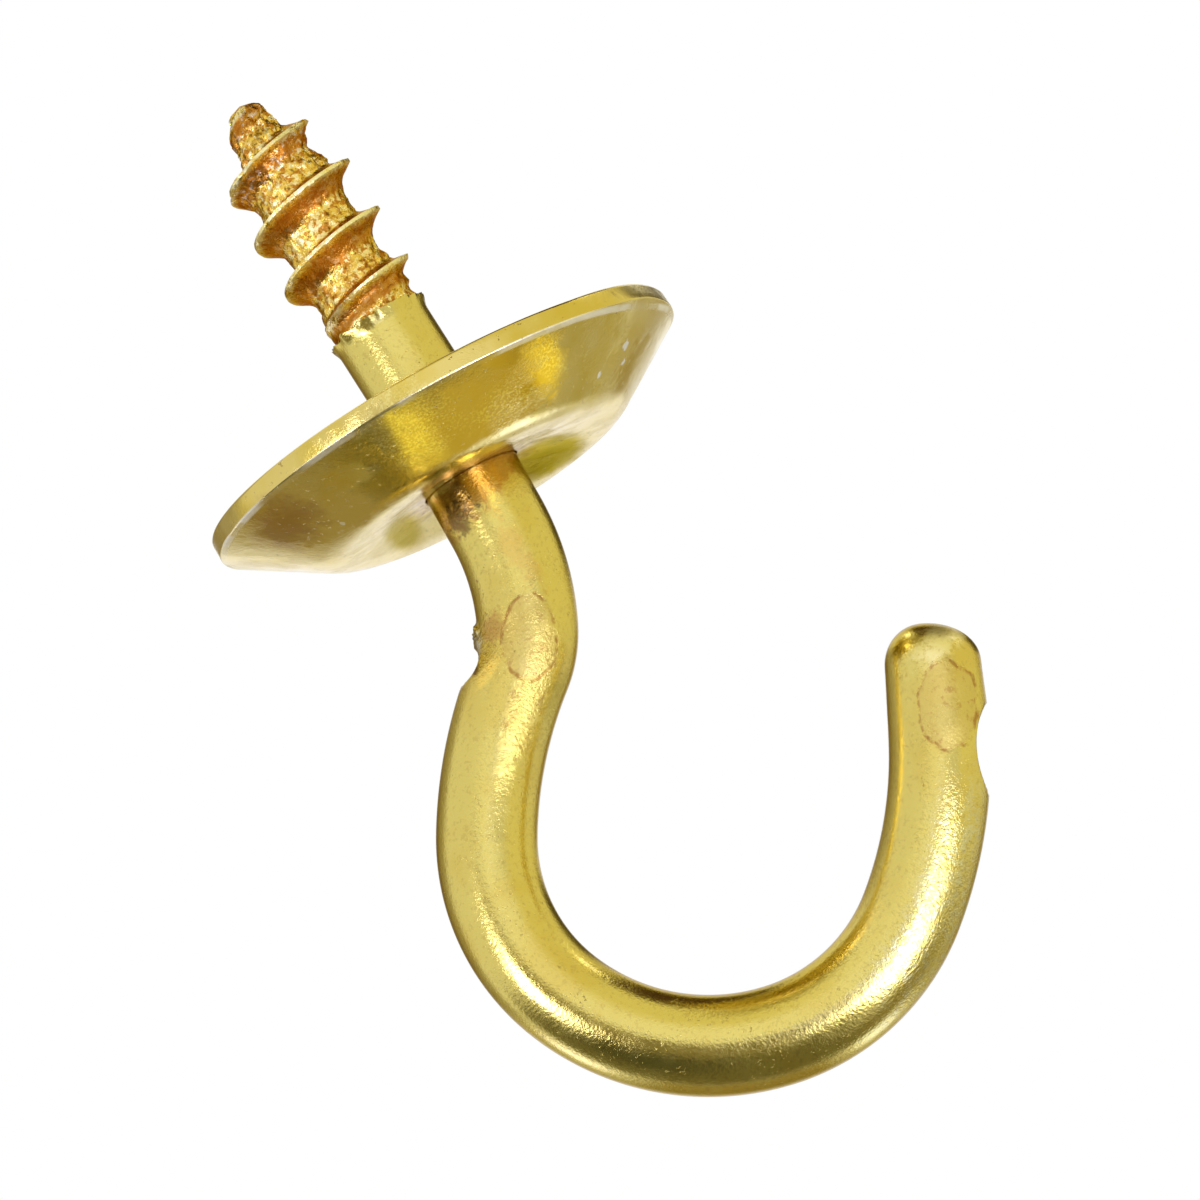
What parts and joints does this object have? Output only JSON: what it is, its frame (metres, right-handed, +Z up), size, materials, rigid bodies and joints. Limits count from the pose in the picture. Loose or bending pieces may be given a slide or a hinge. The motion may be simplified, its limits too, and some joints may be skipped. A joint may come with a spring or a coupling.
{
  "type": "cup hook",
  "caption": "Screw-in cup hook: a bent wire with a wood-screw thread and a dished collar that seats on the wood.",
  "frame": {"origin": "where the screw's axis crosses the plane of the collar's rim, which seats on the wood", "axes": "+Z up the screw towards its point, the hook hangs towards -Z in the XZ plane and opens towards +X"},
  "size_m": [0.0147, 0.0128, 0.0282],
  "materials": {
    "wire": "tumbled bright brass with fine pits, tool marks and copper-coloured stain in the thread",
    "collar": "polished pressed brass"
  },
  "bodies": {
    "root": {"hook_wire": "wire", "collar": "collar"}
  },
  "joints": []
}
